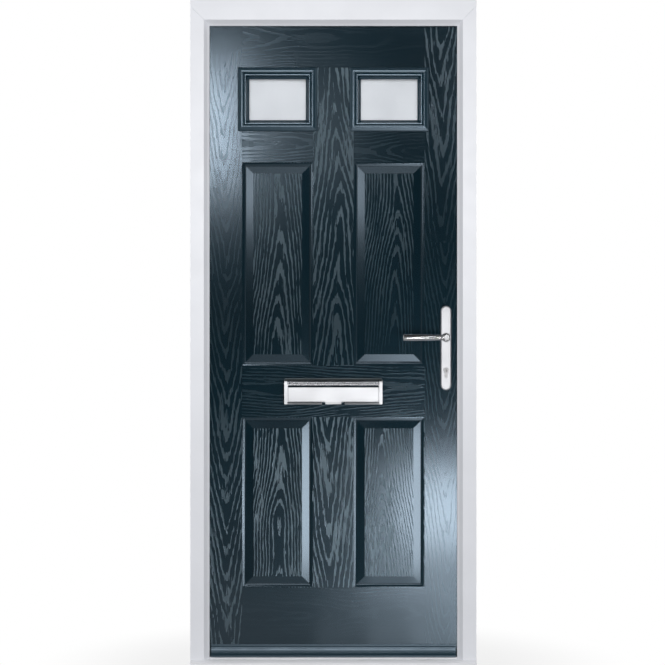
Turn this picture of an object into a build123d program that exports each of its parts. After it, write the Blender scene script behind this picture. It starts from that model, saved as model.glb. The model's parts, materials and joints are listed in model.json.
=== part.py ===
from build123d import *
from math import sqrt
import os

os.makedirs("parts", exist_ok=True)

# Panelled composite front door in its frame, hinged on the left seen from outside and opening inwards.
# X runs to the right, -Y is the outside, +Z is up, and the origin is under the middle of the threshold.

# Frame section, measured inwards from its outer edge and in depth
frame_width = 910
frame_height = 2100
frame_front = -35
frame_back = 35
face_width = 43
bevel_end = 53.5
bevel_depth = 12.5
sight_width = 60
splay_depth = 5.5
rebate_width = 48
rebate_y = -13
frame_wall = 3
edge_radius = 1.2
seam_size = 1.2
head_extension_height = 30

# Groove in the rebate for keeps, on the same line as the lock
lock_y = 13
groove_width = 16
groove_depth = 3

# Steel box section in each jamb
steel_start = 10
steel_wall = 2

# Weather seal behind the upstand of the frame
gasket_start = 50
gasket_end = 57
gasket_chamfer = 1.2
seal_gap = 0.3

# Threshold
threshold_height = 20
nose_y = -47
nose_height = 14
nose_radius = 2
break_half = 6
threshold_wall = 2.5
upstand_y = -19
upstand_width = 2
upstand_top = 27
upstand_half_length = 394
seal_foot = 3
bulb_gap = 0.2

# Door leaf
leaf_half_width = 403
leaf_bottom = 25
leaf_top = 2048
leaf_outer = -9
leaf_inner = 35
skin_thickness = 2.5
stile_width = 78
cut_spare = 1
top_rail_height = 70
bottom_rail_height = 100

# Raised and fielded panels
panel_x = 178
panel_width = 227
upper_panel_height = 649
upper_panel_z = 1281
lower_panel_height = 544
lower_panel_z = 519.5
quirk_depth = 1.2
ovolo_width = 12.7
pocket_depth = 7.5
bevel_width = 23
field_depth = 1.6
field_step = 0.9
joint_groove_width = 1.8
joint_groove_depth = 0.6

# Glazed lights
light_x = 178.5
light_z = 1806.5
cassette_width = 254
cassette_height = 204
cassette_lap = 20
cassette_rim = 36.5
cassette_edge = 3
cassette_lip = 1.5
cassette_brow = (7, 9)
cassette_crown = (15, 11.5)
cassette_quirk = ((16.8, 11), (19.2, 5.6), (21.6, 9))
cassette_bead = ((21.6, 9), (24.4, 10.2), (27.2, 8.6))
cassette_splay = (30.5, 0.5)
cassette_fit = 0.6
glass_depth = 8
pane_thickness = 4
pane_clearance = 4
spacer_width = 11

# Weather bar along the foot of the leaf
bar_half_length = 389.5
bar_bottom = 29
bar_top = 66.5
bar_strip = 3
bar_strip_height = 6
bar_ridge = 4
bar_ridge_drop = 13
bar_swell = (3.4, 4)
bar_hollow = (8, 10)
bar_edge = 5
drip_step = 3
drip_depth = 2
drip_slope = 1
bar_projection = 23

# Letterplate
plate_width = 313
plate_top = 915.5
plate_bottom = 833
plate_base = 4
plate_corner = 5
end_cap_width = 10
end_cap_height = 14.5
end_cap_top = 905
end_cap_round = 3
slot_width = 262
slot_height = 40
slot_z = 866
shadow_gap_width = 290
shadow_gap_top = 894
shadow_gap_bottom = 884
sleeve_wall = 2
flap_width = 289
inner_flap_width = 272
flap_bottom = 841.8
flap_thickness = 3
flap_edge = 1
flap_pivot_z = 886
flap_pin_radius = 1.5
flap_pin_length = 4
pin_end_gap = 0.5
tab_half_width = 25.5
tab_notch = 11
tab_drop = 6
tab_lap = 2
tab_rise = 1
tab_corner = 1.5
lip_height = 7
lip_edge = 2.5
lip_reach = 4
hood_bottom = 895
hood_crown = 1.5
hood_projection = 8
hood_hollow = (3.4, 7)
hood_bead = 4.8
hood_bead_swell = 2.2
lug_height = 14
lug_corner = 1.5
lug_spare = 3
letter_bolt_x = 143
letter_bolt_z = 874
bolt_cover = 1

# Lever handle
spindle_x = 359.5
spindle_z = 1046
backplate_width = 33
backplate_top = 1147
backplate_bottom = 877.6
backplate_thickness = 10
backplate_round = 3.5
lever_stand_off = 32
grip_sections = [(4, 17, 13), (45, 18.5, 12), (100, 21, 12), (138, 20.5, 11)]
grip_end_round = 2.6
boss_radius = 13
boss_lead = 8
boss_round = 4.5
collar_radius = 14.5
collar_height = 4
collar_round = 1.5
spindle_size = 8
spindle_bore = 11
spindle_gap = 0.5
handle_bolt_inset = 15.2

# Key cylinder
cylinder_z = 942
barrel_radius = 8.5
flag_width = 10
flag_drop = 24.5
plug_radius = 6.5
cam_radius = 15
cam_width = 10
cam_nose = 8
cam_gap = 1
cylinder_projection = 3
keyway_width = 3
keyway_height = 9
keyway_depth = 20
keyway_drop = 1
plug_edge = 0.5
running_gap = 0.05

# Multipoint lock
faceplate_thickness = 2.5
faceplate_bottom = 150
faceplate_top = 1950
case_depth = 63
case_thickness = 15
case_bottom = 902
case_top = 1122
mortise_gap = 0.5
latch_z = 1081
latch_length = 31
latch_width = 12
latch_height = 16
deadbolt_z = 1001
deadbolt_length = 47
deadbolt_width = 10
deadbolt_height = 40
deadbolt_throw = 20
slide_gap = 0.3
hook_heights = {"top": 1776, "bottom": 316}
hook_pivot_inset = 15
hook_thickness = 6
hook_arm = 31
hook_arm_width = 10
hook_nose = 8.4
hook_nose_reach = 11
hook_boss_radius = 8
hook_pin_radius = 3
hook_case_back = 14
hook_case_below = 39
hook_case_above = 15
hook_room = 2
latch_flat = 1
bolt_edge = 0.8

# Keeps
hook_keep_bottom = -42
hook_keep_top = 32
hook_keep_screws = (-36, 24)
hook_slot_bottom = -30
hook_slot_top = 7.5
centre_keep_bottom = 962
centre_keep_top = 1108
centre_keep_screws = (970, 1036)
keep_pocket_spare = 3
pocket_gap = 1.5
pocket_end_gap = 3
keep_gap = 0.5
keep_end_gap = 1

# Hinges on the inside face
hinge_heights = {"top": 1850, "middle": 1065, "bottom": 250}
hinge_height = 100
hinge_axis_x = -405
hinge_axis_y = 44
knuckle_radius = 8
knuckle_length = 40
knuckle_gap = 0.3
hinge_pin_radius = 4
hinge_cap_height = 3
hinge_cap_radius = 7.5
web_lap = 1
hinge_plate = 4
hinge_plate_width = 36
hinge_plate_gap = 8.5
hinge_plate_corner = 4
hinge_screw_steps = (-36, 0, 36)

# Fixings
fixing_radius = 4
fixing_heights = (160, 720, 1400, 1960)
screw_head_radius = 4
screw_shank_radius = 2.1
screw_head_height = 1.9
screw_length = 25
pilot_gap = 0.1
pilot_spare = 1
bolt_radius = 2.5
bolt_head_radius = 4.5
bolt_head_height = 2
bolt_gap = 0.5
faceplate_screws = (190, 560, 1540, 1910)

# Lines that follow from the sizes above
frame_half = frame_width / 2
frame_depth = frame_back - frame_front
bevel_y = frame_front + bevel_depth
sight_y = bevel_y + splay_depth
groove_front = lock_y - groove_width / 2
groove_back = lock_y + groove_width / 2
groove_floor = rebate_width - groove_depth
chamber_end = groove_floor - frame_wall
keep_x = frame_half - rebate_width
leaf_width = 2 * leaf_half_width
leaf_height = leaf_top - leaf_bottom
leaf_mid_y = (leaf_outer + leaf_inner) / 2
leaf_mid_z = (leaf_bottom + leaf_top) / 2
core_outer = leaf_outer + skin_thickness
core_inner = leaf_inner - skin_thickness
core_depth = core_inner - core_outer
faceplate_x = leaf_half_width - faceplate_thickness
keep_pocket_depth = leaf_half_width + deadbolt_throw - keep_x + keep_pocket_spare
hook_pivot_x = leaf_half_width - hook_pivot_inset
handle_bolt_z = (backplate_bottom + handle_bolt_inset, backplate_top - handle_bolt_inset)
plate_z = (plate_bottom + plate_top) / 2
plate_height = plate_top - plate_bottom
hinge_face = frame_back + hinge_plate
hinge_plate_x = hinge_plate_gap + hinge_plate_width / 2
above_origin = (Align.CENTER, Align.CENTER, Align.MIN)
below_origin = (Align.CENTER, Align.CENTER, Align.MAX)

# Turns that point an upright screw's head towards the inside, the hinge side or the lock side
facing_inside = (-90, 0, 0)
facing_hinge_side = (0, -90, 0)
facing_lock_side = (0, 90, 0)


def write_piece(builder, name):
    builder.part.label = name
    export_step(builder.part, f"parts/{name}.step")


def front_plane(y):
    # Plane seen from outside at depth y: X to the right, Z up, its normal pointing outwards
    return Plane.XZ.offset(-y)


def mirrored(part):
    # The same piece on the other face of the leaf
    return mirror(part, about=front_plane(leaf_mid_y), mode=Mode.PRIVATE)


# Frame section and its two chambers, as (across from the outer edge, depth) corners
frame_outline = [
    (0, frame_front),
    (face_width, frame_front),
    (bevel_end, bevel_y),
    (sight_width, sight_y),
    (sight_width, rebate_y),
    (rebate_width, rebate_y),
    (rebate_width, groove_front),
    (groove_floor, groove_front),
    (groove_floor, groove_back),
    (rebate_width, groove_back),
    (rebate_width, frame_back),
    (0, frame_back),
]
upstand_outline = [*frame_outline[:5], (0, rebate_y)]
main_chamber = [
    (frame_wall, rebate_y),
    (chamber_end, rebate_y),
    (chamber_end, frame_back - frame_wall),
    (frame_wall, frame_back - frame_wall),
]


def front_chamber(place):
    # Space behind the face, bevel and splay, a wall's thickness in from them
    with BuildSketch() as chamber:
        with BuildLine():
            Polyline(*[place(u, y) for u, y in upstand_outline], close=True)
        make_face()
        offset(amount=-frame_wall, kind=Kind.INTERSECTION)
    return chamber.sketch


def frame_section(place):
    # The section with each corner put on the drawing plane by the function place
    with BuildSketch() as section:
        with BuildLine():
            Polyline(*[place(u, y) for u, y in frame_outline], close=True)
        make_face()
        front_corners = [Vector(*place(u, y)) for u, y in frame_outline[1:4]]
        rounded = [v for v in section.vertices() if v.center() in front_corners]
        fillet(rounded, radius=edge_radius)
        add(front_chamber(place), mode=Mode.SUBTRACT)
        with BuildLine():
            Polyline(*[place(u, y) for u, y in main_chamber], close=True)
        make_face(mode=Mode.SUBTRACT)
    return section.sketch


def mitre_plane(side):
    # Plane through a top corner of the frame, its normal pointing up and inwards
    return Plane(origin=(side * frame_half, 0, frame_height), x_dir=(0, 1, 0), z_dir=(-side, 0, 1))


def seam_groove(side):
    # Fine V along the front of a welded corner
    along_mitre = Plane((side * frame_half, frame_front, frame_height), x_dir=(0, 1, 0), z_dir=(-side, 0, -1))
    with BuildPart() as groove:
        with BuildSketch(along_mitre):
            Rectangle(seam_size, seam_size, rotation=45)
        extrude(amount=face_width * sqrt(2))
    return groove.part


def fixing_holes(side):
    # Holes through a jamb for the frame fixings, hidden in the groove when the door is shut
    with BuildPart() as holes:
        with BuildSketch(Plane.YZ.offset(side * frame_half)):
            with Locations(*[(lock_y, z) for z in fixing_heights]):
                Circle(fixing_radius)
        extrude(amount=-side * rebate_width)
    return holes.part


def jamb_blank(side):
    with BuildPart() as blank:
        with BuildSketch(Plane.XY.offset(threshold_height)):
            add(frame_section(lambda u, y: (side * (frame_half - u), y)))
        extrude(amount=frame_height - threshold_height)
        split(bisect_by=mitre_plane(side), keep=Keep.BOTTOM)
        add(seam_groove(side), mode=Mode.SUBTRACT)
        add(fixing_holes(side), mode=Mode.SUBTRACT)
    return blank.part


def steel_blank(side):
    # Box section seated against three walls of the jamb's main chamber
    width = chamber_end - steel_start
    depth = frame_back - frame_wall - rebate_y
    centre = (side * (frame_half - steel_start - width / 2), rebate_y + depth / 2)
    with BuildPart() as steel:
        with BuildSketch(Plane.XY.offset(threshold_height)):
            with Locations(centre):
                Rectangle(width, depth)
                Rectangle(width - 2 * steel_wall, depth - 2 * steel_wall, mode=Mode.SUBTRACT)
        extrude(amount=frame_height - threshold_height - rebate_width)
        add(fixing_holes(side), mode=Mode.SUBTRACT)
    return steel.part


# Countersunk screw, drawn head up at the origin, and where the screws go
with BuildPart() as screw:
    with BuildSketch(Plane.XZ):
        with BuildLine():
            Polyline(
                (0, 0),
                (screw_head_radius, 0),
                (screw_shank_radius, -screw_head_height),
                (screw_shank_radius, -screw_length),
                (0, -screw_length),
                close=True,
            )
        make_face()
    revolve(axis=Axis.Z)

hinge_screw_z = [z + step for z in hinge_heights.values() for step in hinge_screw_steps]
keep_screw_z = [z + step for z in hook_heights.values() for step in hook_keep_screws]
keep_screw_z += centre_keep_screws
frame_screw_places = [
    Location((hinge_axis_x - hinge_plate_x, hinge_face, z), facing_inside) for z in hinge_screw_z
]
frame_screw_places += [Location((keep_x, lock_y, z), facing_hinge_side) for z in keep_screw_z]
door_screw_places = [
    Location((hinge_axis_x + hinge_plate_x, hinge_face, z), facing_inside) for z in hinge_screw_z
]
door_screw_places += [Location((leaf_half_width, lock_y, z), facing_lock_side) for z in faceplate_screws]


def pilot_holes(places):
    # Clearance for the shanks of the screws at these places
    with BuildPart() as holes:
        with Locations(*places):
            Cylinder(screw_shank_radius + pilot_gap, screw_length + pilot_spare, align=below_origin)
    return holes.part


def screw_seats(places):
    # Heads of the screws at these places, to sink them into what they hold
    with BuildPart() as seats:
        with Locations(*places):
            Cone(screw_shank_radius, screw_head_radius, screw_head_height, align=below_origin)
            Cylinder(screw_shank_radius + pilot_gap, screw_length, align=below_origin)
    return seats.part


frame_pilots = pilot_holes(frame_screw_places)
door_pilots = pilot_holes(door_screw_places)
frame_seats = screw_seats(frame_screw_places)
door_seats = screw_seats(door_screw_places)

# Space in the lock jamb behind the keeps, for the hooks, the latch and the deadbolt
pocket_x = keep_x + keep_pocket_depth / 2
with BuildPart() as lock_pockets:
    for z in hook_heights.values():
        pocket_bottom = z + hook_slot_bottom - pocket_end_gap
        pocket_top = z + hook_nose_reach + pocket_end_gap
        with Locations((pocket_x, lock_y, (pocket_bottom + pocket_top) / 2)):
            Box(keep_pocket_depth, hook_thickness + 2 * pocket_gap, pocket_top - pocket_bottom)
    with Locations((pocket_x, lock_y, latch_z)):
        Box(keep_pocket_depth, latch_width + 2 * pocket_gap, latch_height + 2 * pocket_end_gap)
    with Locations((pocket_x, lock_y, deadbolt_z)):
        Box(keep_pocket_depth, deadbolt_width + 2 * pocket_gap, deadbolt_height + 2 * pocket_end_gap)

# Jambs and the steels inside them
with BuildPart() as hinge_jamb:
    add(jamb_blank(-1))
    add(frame_pilots, mode=Mode.SUBTRACT)
write_piece(hinge_jamb, "hinge_jamb")

with BuildPart() as lock_jamb:
    add(jamb_blank(1))
    add(frame_pilots, mode=Mode.SUBTRACT)
    add(lock_pockets.part, mode=Mode.SUBTRACT)
write_piece(lock_jamb, "lock_jamb")

with BuildPart() as hinge_jamb_steel:
    add(steel_blank(-1))
    add(frame_pilots, mode=Mode.SUBTRACT)
write_piece(hinge_jamb_steel, "hinge_jamb_steel")

with BuildPart() as lock_jamb_steel:
    add(steel_blank(1))
    add(frame_pilots, mode=Mode.SUBTRACT)
    add(lock_pockets.part, mode=Mode.SUBTRACT)
write_piece(lock_jamb_steel, "lock_jamb_steel")

# Frame head, mitred at both ends
with BuildPart() as frame_head:
    with BuildSketch(Plane.YZ):
        add(frame_section(lambda u, y: (y, frame_height - u)))
    extrude(amount=frame_half, both=True)
    for side in (-1, 1):
        split(bisect_by=mitre_plane(side), keep=Keep.TOP)
        add(seam_groove(side), mode=Mode.SUBTRACT)
write_piece(frame_head, "frame_head")

# Hollow add-on section on top of the head
with BuildPart() as head_extension:
    with BuildSketch(Plane.YZ.offset(-frame_half)):
        with Locations((0, frame_height + head_extension_height / 2)):
            Rectangle(frame_depth, head_extension_height)
            Rectangle(
                frame_depth - 2 * frame_wall,
                head_extension_height - 2 * frame_wall,
                mode=Mode.SUBTRACT,
            )
    extrude(amount=frame_width)
write_piece(head_extension, "head_extension")

# Weather seal round the back of the upstand
seal_y = leaf_outer - seal_gap
with BuildPart() as frame_gasket:
    with BuildSketch(front_plane(rebate_y)):
        with BuildLine():
            outer_x = frame_half - gasket_start
            inner_x = frame_half - gasket_end
            Polyline(
                (-outer_x, threshold_height),
                (-outer_x, frame_height - gasket_start),
                (outer_x, frame_height - gasket_start),
                (outer_x, threshold_height),
                (inner_x, threshold_height),
                (inner_x, frame_height - gasket_end),
                (-inner_x, frame_height - gasket_end),
                (-inner_x, threshold_height),
                close=True,
            )
        make_face()
    extrude(amount=rebate_y - seal_y)
    long_edges = frame_gasket.faces().sort_by(Axis.Y)[-1].edges()
    chamfer([e for e in long_edges if e.length > 2 * (gasket_end - gasket_start)], length=gasket_chamfer)
write_piece(frame_gasket, "frame_gasket")

# Threshold: outer aluminium with its nose and upstand, plastic break, inner aluminium
with BuildPart() as threshold_outer:
    with BuildSketch(Plane.YZ.offset(-frame_half)):
        with BuildLine():
            Polyline(
                (nose_y, 0),
                (nose_y, nose_height - nose_radius),
                (nose_y + nose_radius, nose_height),
                (frame_front, threshold_height),
                (-break_half, threshold_height),
                (-break_half, 0),
                close=True,
            )
        make_face()
        chamber_y = (frame_front - break_half) / 2
        with Locations((chamber_y, threshold_height / 2)):
            Rectangle(
                -break_half - frame_front - 2 * threshold_wall,
                threshold_height - 2 * threshold_wall,
                mode=Mode.SUBTRACT,
            )
    extrude(amount=frame_width)
    with BuildSketch(Plane.YZ.offset(-upstand_half_length)):
        with Locations((upstand_y + upstand_width / 2, (threshold_height + upstand_top) / 2)):
            Rectangle(upstand_width, upstand_top - threshold_height)
    extrude(amount=2 * upstand_half_length)
write_piece(threshold_outer, "threshold_outer")

with BuildPart() as threshold_break:
    with BuildSketch(Plane.YZ.offset(-frame_half)):
        with Locations((0, threshold_height / 2)):
            Rectangle(2 * break_half, threshold_height)
            Rectangle(
                2 * break_half - 2 * threshold_wall,
                threshold_height - 2 * threshold_wall,
                mode=Mode.SUBTRACT,
            )
    extrude(amount=frame_width)
write_piece(threshold_break, "threshold_break")

with BuildPart() as threshold_inner:
    with BuildSketch(Plane.YZ.offset(-frame_half)):
        with Locations(((break_half + frame_back) / 2, threshold_height / 2)):
            Rectangle(frame_back - break_half, threshold_height)
            Rectangle(
                frame_back - break_half - 2 * threshold_wall,
                threshold_height - 2 * threshold_wall,
                mode=Mode.SUBTRACT,
            )
    extrude(amount=frame_width)
write_piece(threshold_inner, "threshold_inner")

# Rubber bulb between the upstand and the foot of the leaf
bulb_radius = (upstand_top - threshold_height) / 2 - bulb_gap
with BuildPart() as threshold_seal:
    seal_back = upstand_y + upstand_width
    seal_mid_z = (threshold_height + upstand_top) / 2
    with BuildSketch(Plane.YZ.offset(-upstand_half_length)):
        with Locations((seal_y - bulb_radius, seal_mid_z)):
            Circle(bulb_radius)
        with Locations((seal_back + seal_foot / 2, seal_mid_z)):
            Rectangle(seal_foot, upstand_top - threshold_height)
    extrude(amount=2 * upstand_half_length)
write_piece(threshold_seal, "threshold_seal")


# Keeps lying in the lock jamb's groove
def keep_plate(bottom, top, slots):
    # Plate with rectangular slots given as (height, width, length)
    with BuildPart() as plate:
        with BuildSketch(Plane.YZ.offset(keep_x)):
            with Locations((lock_y, (bottom + top) / 2)):
                Rectangle(groove_width, top - bottom)
            for slot_height_z, slot_across, slot_length in slots:
                with Locations((lock_y, slot_height_z)):
                    Rectangle(slot_across, slot_length, mode=Mode.SUBTRACT)
        extrude(amount=groove_depth)
        add(frame_seats, mode=Mode.SUBTRACT)
    return plate.part


hook_slot_length = hook_slot_top - hook_slot_bottom
hook_slot_middle = (hook_slot_top + hook_slot_bottom) / 2
for name, z in hook_heights.items():
    with BuildPart() as hook_keep:
        hook_slot = (z + hook_slot_middle, hook_thickness + 2 * keep_end_gap, hook_slot_length)
        add(keep_plate(z + hook_keep_bottom, z + hook_keep_top, [hook_slot]))
    write_piece(hook_keep, f"{name}_hook_keep")

with BuildPart() as centre_keep:
    latch_slot = (latch_z, latch_width + 2 * keep_gap, latch_height + 2 * keep_end_gap)
    deadbolt_slot = (deadbolt_z, deadbolt_width + 2 * keep_gap, deadbolt_height + 2 * keep_end_gap)
    add(keep_plate(centre_keep_bottom, centre_keep_top, [latch_slot, deadbolt_slot]))
write_piece(centre_keep, "centre_keep")

with BuildPart() as frame_screws:
    with Locations(*frame_screw_places):
        add(screw.part)
write_piece(frame_screws, "frame_screws")


# Panel mouldings: a pocket with ovolo sides, and the raised field that stands in it
def pocket_outline(half):
    # Section of the pocket, half its width each side of the middle, depth upwards
    with BuildSketch() as outline:
        with BuildLine():
            Polyline((0, -cut_spare), (half, -cut_spare), (half, quirk_depth))
            TangentArc((half, quirk_depth), (half - ovolo_width, pocket_depth), tangent=(-1, 0))
            Polyline((half - ovolo_width, pocket_depth), (0, pocket_depth), (0, -cut_spare))
        make_face()
        mirror(about=Plane.YZ)
    return outline.sketch


def field_outline(half):
    # Section of the raised field: bevel, small step and flat
    foot = half - ovolo_width
    shoulder = foot - bevel_width
    with BuildSketch() as outline:
        with BuildLine():
            Polyline(
                (0, pocket_depth),
                (foot, pocket_depth),
                (shoulder, field_depth),
                (shoulder, field_depth - field_step),
                (0, field_depth - field_step),
                close=True,
            )
        make_face()
        mirror(about=Plane.YZ)
    return outline.sketch


def moulded_block(width, height, outline):
    # Block with the same section on all four sides, met in mitres: two runs crossed at right angles
    upright_run = Plane((0, 0, 0), x_dir=(0, 0, 1), z_dir=(-1, 0, 0))
    with BuildPart() as block:
        with BuildSketch(Plane.XY):
            add(outline(width / 2))
        extrude(amount=height / 2, both=True)
        with BuildSketch(upright_run):
            add(outline(height / 2))
        extrude(amount=width / 2, both=True, mode=Mode.INTERSECT)
    return block.part


def panel_recess(height):
    with BuildPart() as recess:
        add(moulded_block(panel_width, height, pocket_outline))
        add(moulded_block(panel_width, height, field_outline), mode=Mode.SUBTRACT)
    return recess.part


panel_recesses = [
    (panel_recess(upper_panel_height), upper_panel_z),
    (panel_recess(lower_panel_height), lower_panel_z),
]


def leaf_form(inset):
    # The leaf's block with its panels pressed into both faces, each face set in by inset
    with BuildPart() as form:
        with Locations((0, leaf_mid_y, leaf_mid_z)):
            Box(leaf_width, leaf_inner - leaf_outer - 2 * inset, leaf_height)
        for face_y, turn in ((leaf_outer + inset, 0), (leaf_inner - inset, 180)):
            for recess, z in panel_recesses:
                with Locations(*[Location((x, face_y, z), (0, 0, turn)) for x in (-panel_x, panel_x)]):
                    add(recess, mode=Mode.SUBTRACT)
    return form.part


# Openings that go right through the leaf
def cylinder_outline(gap):
    # Key cylinder's profile: round barrel above a flag with a round foot
    with BuildSketch() as outline:
        with Locations((spindle_x, cylinder_z)):
            Circle(barrel_radius + gap)
        foot_z = cylinder_z - flag_drop + flag_width / 2
        with Locations((spindle_x, (cylinder_z + foot_z) / 2)):
            Rectangle(flag_width + 2 * gap, cylinder_z - foot_z)
        with Locations((spindle_x, foot_z)):
            Circle(flag_width / 2 + gap)
    return outline.sketch


aperture_width = cassette_width - 2 * cassette_lap
aperture_height = cassette_height - 2 * cassette_lap
letter_bolts = [(-letter_bolt_x, letter_bolt_z), (letter_bolt_x, letter_bolt_z)]
handle_bolts_xz = [(spindle_x, z) for z in handle_bolt_z]
with BuildPart() as leaf_openings:
    with BuildSketch(front_plane(leaf_inner + cut_spare)):
        with Locations((-light_x, light_z), (light_x, light_z)):
            Rectangle(aperture_width, aperture_height)
        with Locations((0, slot_z)):
            Rectangle(slot_width, slot_height)
        with Locations(*letter_bolts, *handle_bolts_xz):
            Circle(bolt_radius + bolt_gap)
        with Locations((spindle_x, spindle_z)):
            Circle(spindle_bore)
        add(cylinder_outline(mortise_gap))
    extrude(amount=leaf_inner - leaf_outer + 2 * cut_spare)

# Fine grooves on the skin where the stiles, rails and muntins of a joined door meet
stile_line = panel_x + panel_width / 2
muntin_line = panel_x - panel_width / 2
upper_panel_span = (upper_panel_z - upper_panel_height / 2, upper_panel_z + upper_panel_height / 2)
lower_panel_span = (lower_panel_z - lower_panel_height / 2, lower_panel_z + lower_panel_height / 2)
light_span = (light_z - cassette_height / 2, light_z + cassette_height / 2)
short_rail_span = (upper_panel_span[1], light_span[0])
rail_spans = [
    (leaf_bottom, lower_panel_span[0]),
    (lower_panel_span[1], upper_panel_span[0]),
    short_rail_span,
    (light_span[1], leaf_top),
]
upright_grooves = [(x, span) for x in (-stile_line, stile_line) for span in rail_spans]
upright_grooves += [(x, short_rail_span) for x in (-muntin_line, muntin_line)]
muntin_ends = [*lower_panel_span, upper_panel_span[0], light_span[1]]
with BuildPart() as joint_grooves:
    with BuildSketch(front_plane(leaf_outer + joint_groove_depth)):
        for x, (bottom, top) in upright_grooves:
            with Locations((x, (bottom + top) / 2)):
                Rectangle(joint_groove_width, top - bottom)
        with Locations(*[(0, z) for z in muntin_ends]):
            Rectangle(2 * muntin_line, joint_groove_width)
    extrude(amount=joint_groove_depth)

# Glass-fibre skins, the foam between them and the bars round its edge
moulded_leaf = leaf_form(0)
moulded_core = leaf_form(skin_thickness)

with BuildPart() as outer_skin:
    add(moulded_leaf)
    split(bisect_by=front_plane(leaf_mid_y), keep=Keep.TOP)
    add(moulded_core, mode=Mode.SUBTRACT)
    add(leaf_openings.part, mode=Mode.SUBTRACT)
    add(joint_grooves.part, mode=Mode.SUBTRACT)
write_piece(outer_skin, "outer_skin")

with BuildPart() as inner_skin:
    add(moulded_leaf)
    split(bisect_by=front_plane(leaf_mid_y), keep=Keep.BOTTOM)
    add(moulded_core, mode=Mode.SUBTRACT)
    add(leaf_openings.part, mode=Mode.SUBTRACT)
    add(mirrored(joint_grooves.part), mode=Mode.SUBTRACT)
    add(door_pilots, mode=Mode.SUBTRACT)
write_piece(inner_skin, "inner_skin")

core_half_width = leaf_half_width - stile_width
core_bottom = leaf_bottom + bottom_rail_height
core_top = leaf_top - top_rail_height
with BuildPart() as foam_core:
    add(moulded_core)
    with Locations((0, leaf_mid_y, (core_bottom + core_top) / 2)):
        Box(2 * core_half_width, core_depth, core_top - core_bottom, mode=Mode.INTERSECT)
    add(leaf_openings.part, mode=Mode.SUBTRACT)
write_piece(foam_core, "foam_core")

stile_x = leaf_half_width - stile_width / 2
with BuildPart() as hinge_stile:
    with Locations((-stile_x, leaf_mid_y, leaf_mid_z)):
        Box(stile_width, core_depth, leaf_height)
    add(door_pilots, mode=Mode.SUBTRACT)
write_piece(hinge_stile, "hinge_stile")

hook_case_left = hook_pivot_x - hook_case_back
hook_case_spans = [(z - hook_case_below, z + hook_case_above) for z in hook_heights.values()]
case_width = case_thickness + 2 * mortise_gap
with BuildPart() as lock_stile:
    with Locations((stile_x, leaf_mid_y, leaf_mid_z)):
        Box(stile_width, core_depth, leaf_height)
    with BuildSketch(Plane.YZ.offset(leaf_half_width)):
        with Locations((lock_y, (faceplate_bottom + faceplate_top) / 2)):
            Rectangle(groove_width, faceplate_top - faceplate_bottom)
    extrude(amount=-faceplate_thickness, mode=Mode.SUBTRACT)
    with BuildSketch(Plane.YZ.offset(faceplate_x)):
        with Locations((lock_y, (case_bottom + case_top) / 2)):
            Rectangle(case_width, case_top - case_bottom + 2 * mortise_gap)
    extrude(amount=-case_depth - mortise_gap, mode=Mode.SUBTRACT)
    with BuildSketch(Plane.YZ.offset(faceplate_x)):
        for bottom, top in hook_case_spans:
            with Locations((lock_y, (bottom + top) / 2)):
                Rectangle(case_width, top - bottom + 2 * mortise_gap)
    extrude(amount=hook_case_left - mortise_gap - faceplate_x, mode=Mode.SUBTRACT)
    add(leaf_openings.part, mode=Mode.SUBTRACT)
    add(door_pilots, mode=Mode.SUBTRACT)
write_piece(lock_stile, "lock_stile")

with BuildPart() as top_rail:
    with Locations((0, leaf_mid_y, leaf_top - top_rail_height / 2)):
        Box(2 * core_half_width, core_depth, top_rail_height)
write_piece(top_rail, "top_rail")

with BuildPart() as bottom_rail:
    with Locations((0, leaf_mid_y, leaf_bottom + bottom_rail_height / 2)):
        Box(2 * core_half_width, core_depth, bottom_rail_height)
write_piece(bottom_rail, "bottom_rail")


# Glazed lights: a moulded cassette on each face, clamping a sealed double pane
def cassette_ring():
    # Ring round the light on the outer face, swept from one section with mitred corners
    bottom = -cassette_height / 2
    right = cassette_width / 2
    tail = cassette_lap + cassette_fit
    lip_top = cassette_lip - glass_depth
    with BuildPart() as ring:
        with BuildLine(front_plane(leaf_outer)) as path:
            Polyline(
                (0, bottom),
                (right, bottom),
                (right, -bottom),
                (-right, -bottom),
                (-right, bottom),
                (0, bottom),
            )
        with BuildSketch(Plane((0, leaf_outer, bottom), x_dir=(0, 0, 1), z_dir=(1, 0, 0))):
            with BuildLine():
                Polyline((tail, -glass_depth), (tail, 0), (0, 0), (0, cassette_edge))
                ThreePointArc((0, cassette_edge), cassette_brow, cassette_crown)
                Line(cassette_crown, cassette_quirk[0])
                ThreePointArc(*cassette_quirk)
                ThreePointArc(*cassette_bead)
                Polyline(
                    cassette_bead[-1],
                    cassette_splay,
                    (cassette_rim, lip_top),
                    (cassette_rim, -glass_depth),
                    (tail, -glass_depth),
                )
            make_face()
        sweep(path=path.wire(), transition=Transition.RIGHT)
    return ring.part


pane_width = aperture_width - 2 * pane_clearance
pane_height = aperture_height - 2 * pane_clearance
outer_pane_y = leaf_outer + glass_depth + pane_thickness / 2
inner_pane_y = leaf_inner - glass_depth - pane_thickness / 2
outer_cassette = cassette_ring()
light_centres = {"left": (-light_x, 0, light_z), "right": (light_x, 0, light_z)}
for name, centre in light_centres.items():
    with BuildPart() as cassette_outer:
        with Locations(centre):
            add(outer_cassette)
    write_piece(cassette_outer, f"{name}_cassette_outer")
    with BuildPart() as cassette_inner:
        with Locations(centre):
            add(mirrored(outer_cassette))
    write_piece(cassette_inner, f"{name}_cassette_inner")
    with BuildPart() as outer_pane:
        with Locations((centre[0], outer_pane_y, light_z)):
            Box(pane_width, pane_thickness, pane_height)
    write_piece(outer_pane, f"{name}_outer_pane")
    with BuildPart() as inner_pane:
        with Locations((centre[0], inner_pane_y, light_z)):
            Box(pane_width, pane_thickness, pane_height)
    write_piece(inner_pane, f"{name}_inner_pane")

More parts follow.
